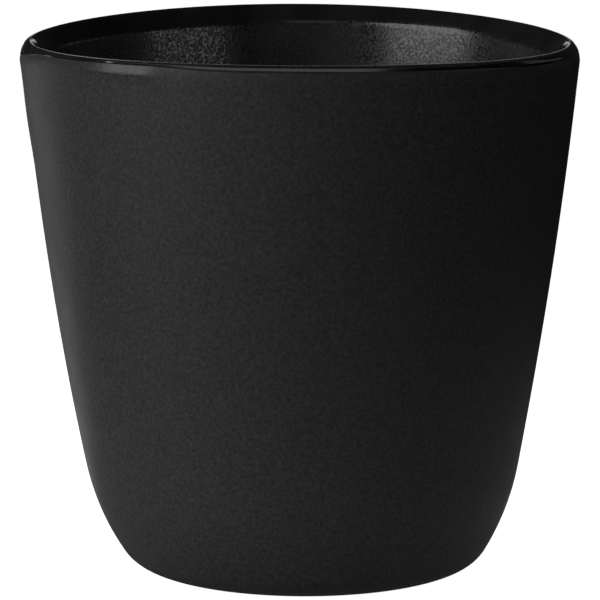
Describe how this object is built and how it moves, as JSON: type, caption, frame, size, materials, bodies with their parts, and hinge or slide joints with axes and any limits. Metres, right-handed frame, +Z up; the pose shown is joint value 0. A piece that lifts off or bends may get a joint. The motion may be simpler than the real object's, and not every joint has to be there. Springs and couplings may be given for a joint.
{
  "type": "stoneware mug",
  "caption": "Handleless black stoneware mug with a tapering wall, satin outside, gloss inside that folds over a rounded lip, and a bare foot ring.",
  "frame": {"origin": "middle of the foot ring, on the table", "axes": "+Z up along the axis the mug is turned about, X and Y alike because the mug is round"},
  "size_m": [0.088, 0.088, 0.0855],
  "materials": {
    "clay": "bare, matt",
    "gloss_glaze": "gloss",
    "satin_glaze": "satin"
  },
  "bodies": {
    "root": {"clay_body": "clay", "liner_glaze": "gloss_glaze", "outer_glaze": "satin_glaze", "foot_well_glaze": "satin_glaze"}
  },
  "joints": []
}
